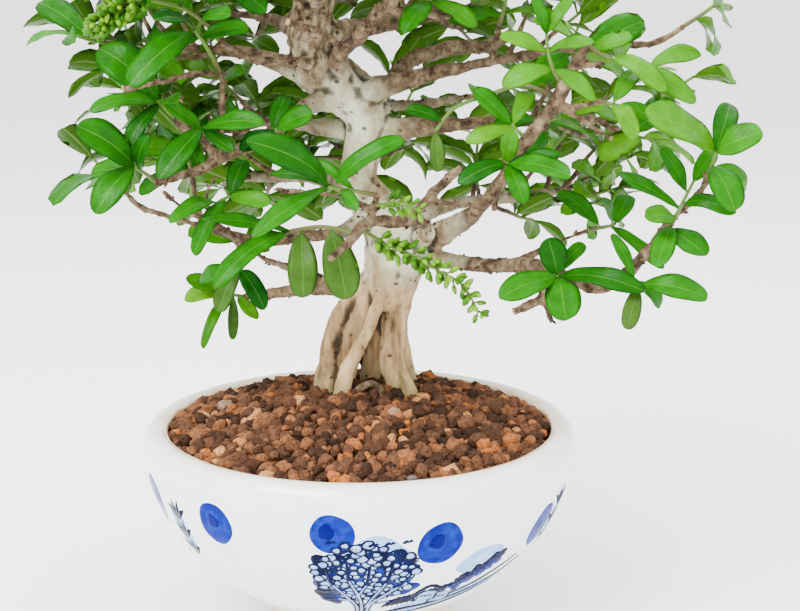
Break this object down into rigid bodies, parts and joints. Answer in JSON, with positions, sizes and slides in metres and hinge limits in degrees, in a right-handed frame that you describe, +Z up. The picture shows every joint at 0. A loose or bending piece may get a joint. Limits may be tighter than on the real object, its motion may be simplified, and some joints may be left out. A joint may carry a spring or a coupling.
{
  "type": "privet bonsai in a blue-and-white porcelain bowl",
  "caption": "Small-leaved privet bonsai with a thick exposed-root trunk, leafy branches and green flower buds, in a round footed porcelain bowl of clay grains.",
  "frame": {"origin": "under the middle of the whole outline, on the surface that the bowl stands on", "axes": "+Z up the trunk; -Y towards the viewer of the picture; +X to the viewer's right"},
  "size_m": [0.2878, 0.2234, 0.3243],
  "materials": {
    "porcelain": "glossy white glaze with blue brushwork",
    "screen": "matte",
    "soil": "matte clay grains",
    "bark": "pale grey bark, rougher and browner on the twigs",
    "leaf": "waxy leaf",
    "bud": "soft green buds"
  },
  "bodies": {
    "root": {"bowl": "porcelain", "drainage_screen": "screen", "panicle_front": "bud", "panicle_left": "bud", "panicle_rear": "bud", "shoot_arching": "leaf", "shoot_centre_right": "leaf", "shoot_centre_right_upper": "leaf", "shoot_cut_stub": "leaf", "shoot_far_left": "leaf", "shoot_front_left": "leaf", "shoot_left_inner": "leaf", "shoot_left_knob": "leaf", "shoot_left_low": "leaf", "shoot_left_rosette": "leaf", "shoot_rear_left_up": "leaf", "shoot_rear_low_left": "leaf", "shoot_right_arm": "leaf", "shoot_right_big": "leaf", "shoot_right_end": "leaf", "shoot_right_inner": "leaf", "shoot_right_rosette": "leaf", "shoot_right_second": "leaf", "shoot_right_upper": "leaf", "shoot_upper_left": "leaf", "shoot_upright": "leaf", "soil": "soil", "spray_apex_4": "leaf", "spray_backHigh_2": "leaf", "spray_backHigh_6": "leaf", "spray_back_4": "leaf", "spray_back_8": "leaf", "spray_frontHigh_2": "leaf", "spray_frontHigh_6": "leaf", "spray_frontLeftHigh_2": "leaf", "spray_frontLeftHigh_6": "leaf", "spray_frontRightHigh_2": "leaf", "spray_frontRightHigh_6": "leaf", "spray_leftBackHigh_3": "leaf", "spray_leftBackHigh_7": "leaf", "spray_leftBack_4": "leaf", "spray_leftBack_8": "leaf", "spray_leftHigh_4": "leaf", "spray_leftHigh_8": "leaf", "spray_leftMidBack_4": "leaf", "spray_leftMidBack_8": "leaf", "spray_lowLeft_4": "leaf", "spray_rightBackHigh_3": "leaf", "spray_rightBackHigh_7": "leaf", "spray_rightBack_4": "leaf", "spray_rightBack_8": "leaf", "spray_rightHigh_3": "leaf", "spray_rightHigh_7": "leaf", "spray_rightMid_4": "leaf", "spray_rightMid_8": "leaf", "spray_topLeft_6": "leaf", "spray_topRight_2": "leaf", "spray_topRight_6": "leaf", "tree": "bark"}
  },
  "joints": []
}
